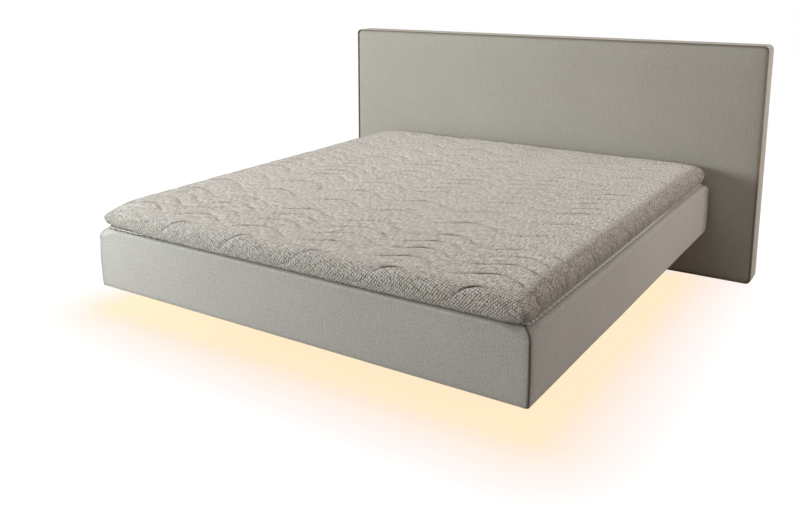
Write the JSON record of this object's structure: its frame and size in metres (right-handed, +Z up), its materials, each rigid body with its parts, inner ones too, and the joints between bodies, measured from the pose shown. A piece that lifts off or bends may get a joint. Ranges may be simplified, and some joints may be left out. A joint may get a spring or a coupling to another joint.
{
  "type": "floating bed",
  "caption": "Upholstered double bed whose box floats over a set-back plinth with a light under its edge, with a tall padded headboard and a quilted topper.",
  "frame": {"origin": "on the floor, under the middle of the bed's whole length and width", "axes": "+X across the bed to the right of someone who looks from the foot end, +Y from the foot end towards the headboard, +Z up"},
  "size_m": [2.288, 2.2056, 1.14],
  "materials": {
    "box_fabric": "matte",
    "headboard_fabric": "matte",
    "piping_fabric": "matte",
    "backing_cloth": "matte",
    "knit_fabric": "matte",
    "zip_fabric": "matte",
    "white_cloth": "matte",
    "foam": "matte",
    "timber": "matte",
    "sheet_board": "matte",
    "dark_board": "satin",
    "zinc_steel": "satin",
    "black_plastic": "matte",
    "aluminium": "satin",
    "strip_board": "matte",
    "opal_plastic": "matte"
  },
  "bodies": {
    "bed": {"base_panel": "sheet_board", "box_cover": "box_fabric", "centre_bearer": "timber", "edge_foam": "foam", "foot_rail": "timber", "foot_socket_front_left": "zinc_steel", "foot_socket_front_right": "zinc_steel", "foot_socket_rear_left": "zinc_steel", "foot_socket_rear_right": "zinc_steel", "head_rail": "timber", "headboard_back_cloth": "backing_cloth", "headboard_board": "sheet_board", "headboard_border": "headboard_fabric", "headboard_bottom_rail": "timber", "headboard_fixing_rail": "timber", "headboard_foam": "foam", "headboard_front_cover": "headboard_fabric", "headboard_left_glide": "black_plastic", "headboard_left_stile": "timber", "headboard_piping": "piping_fabric", "headboard_right_glide": "black_plastic", "headboard_right_stile": "timber", "headboard_top_rail": "timber", "left_headboard_bracket": "zinc_steel", "left_mattress_core": "foam", "left_side_rail": "timber", "left_slatted_base": "timber", "light_channel_foot": "aluminium", "light_channel_left": "aluminium", "light_channel_right": "aluminium", "light_diffuser_foot": "opal_plastic", "light_diffuser_left": "opal_plastic", "light_diffuser_right": "opal_plastic", "light_driver": "black_plastic", "light_strip": "strip_board", "plinth_cross_board": "dark_board", "plinth_foot_board": "dark_board", "plinth_head_board": "dark_board", "plinth_left_board": "dark_board", "plinth_post_front_left": "timber", "plinth_post_front_right": "timber", "plinth_post_rear_left": "timber", "plinth_post_rear_right": "timber", "plinth_right_board": "dark_board", "right_headboard_bracket": "zinc_steel", "right_mattress_core": "foam", "right_side_rail": "timber", "right_slatted_base": "timber"},
    "topper": {"topper_quilted_top": "knit_fabric", "topper_border": "knit_fabric", "topper_zip_tape": "zip_fabric", "topper_base_cloth": "white_cloth", "topper_core": "foam"},
    "zip_slider": {"topper_zip_slider": "zinc_steel"},
    "foot_front_left": {"levelling_foot_front_left": "black_plastic"},
    "foot_front_right": {"levelling_foot_front_right": "black_plastic"},
    "foot_rear_left": {"levelling_foot_rear_left": "black_plastic"},
    "foot_rear_right": {"levelling_foot_rear_right": "black_plastic"}
  },
  "joints": [
    {"name": "topper_lift", "type": "slide", "parent": "bed", "child": "topper", "axis": [0, 0, 1], "range_m": [0, 0.3]},
    {"name": "zip_slide", "type": "slide", "parent": "topper", "child": "zip_slider", "axis": [0, -1, 0], "range_m": [0, 1.74]},
    {"name": "level_front_left", "type": "slide", "parent": "bed", "child": "foot_front_left", "axis": [0, 0, -1], "range_m": [0, 0.015]},
    {"name": "level_front_right", "type": "slide", "parent": "bed", "child": "foot_front_right", "axis": [0, 0, -1], "range_m": [0, 0.015]},
    {"name": "level_rear_left", "type": "slide", "parent": "bed", "child": "foot_rear_left", "axis": [0, 0, -1], "range_m": [0, 0.015]},
    {"name": "level_rear_right", "type": "slide", "parent": "bed", "child": "foot_rear_right", "axis": [0, 0, -1], "range_m": [0, 0.015]}
  ]
}
